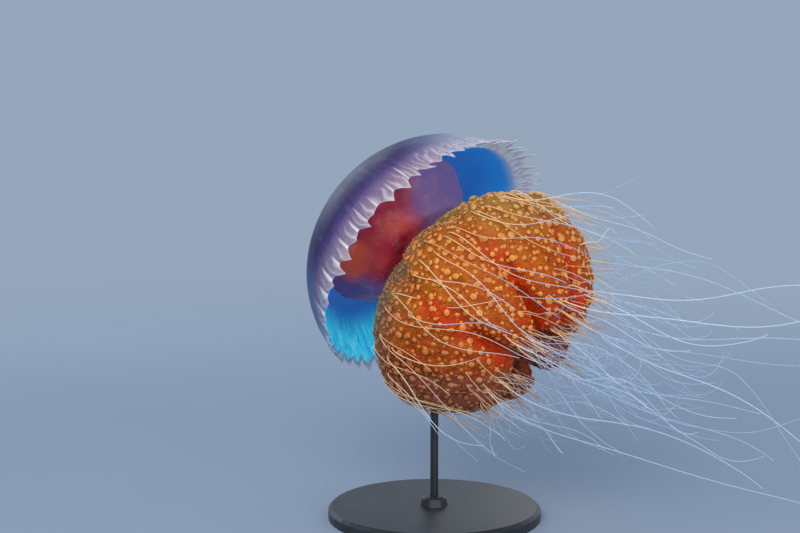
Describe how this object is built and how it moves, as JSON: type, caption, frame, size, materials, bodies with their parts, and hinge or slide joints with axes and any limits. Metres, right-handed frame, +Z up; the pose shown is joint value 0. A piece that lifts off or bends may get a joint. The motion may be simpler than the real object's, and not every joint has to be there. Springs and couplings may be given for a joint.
{
  "type": "tomato jellyfish",
  "caption": "Life-size still model of a domed jellyfish with frilled oral arms and trailing filaments, banked on a plain rod stand.",
  "frame": {"origin": "centre of the underside of the stand's base", "axes": "+Z up; +X to the right of the animal's front, the way the filaments trail; +Y behind it"},
  "size_m": [0.4009, 0.3495, 0.2876],
  "materials": {
    "bell": "gloss",
    "margin": "gloss",
    "stomach": "satin",
    "arm": "satin",
    "filament": "satin",
    "stand": "satin"
  },
  "bodies": {
    "root": {"bell_crown": "bell", "bell_margin_1": "margin", "bell_margin_2": "margin", "bell_margin_3": "margin", "bell_margin_4": "margin", "bell_margin_5": "margin", "bell_margin_6": "margin", "bell_margin_7": "margin", "bell_margin_8": "margin", "filament_01": "filament", "filament_02": "filament", "filament_03_far": "filament", "filament_03_near": "filament", "filament_04": "filament", "filament_05_far": "filament", "filament_05_near": "filament", "filament_06": "filament", "filament_07_far": "filament", "filament_07_near": "filament", "filament_08": "filament", "filament_09_far": "filament", "filament_09_near": "filament", "filament_10_far": "filament", "filament_10_near": "filament", "filament_11": "filament", "filament_12": "filament", "filament_13_far": "filament", "filament_13_near": "filament", "filament_14_far": "filament", "filament_14_near": "filament", "filament_15_far": "filament", "filament_15_near": "filament", "filament_16": "filament", "filament_17_far": "filament", "filament_17_near": "filament", "filament_18_far": "filament", "filament_18_near": "filament", "filament_19": "filament", "filament_20": "filament", "filament_21": "filament", "filament_22": "filament", "filament_23": "filament", "filament_24": "filament", "filament_25": "filament", "filament_26": "filament", "oral_arm_1": "arm", "oral_arm_2": "arm", "oral_arm_3": "arm", "oral_arm_4": "arm", "oral_arm_5": "arm", "oral_arm_6": "arm", "oral_arm_7": "arm", "oral_arm_8": "arm", "stand_base": "stand", "stand_rod": "stand", "stomach": "stomach"}
  },
  "joints": []
}
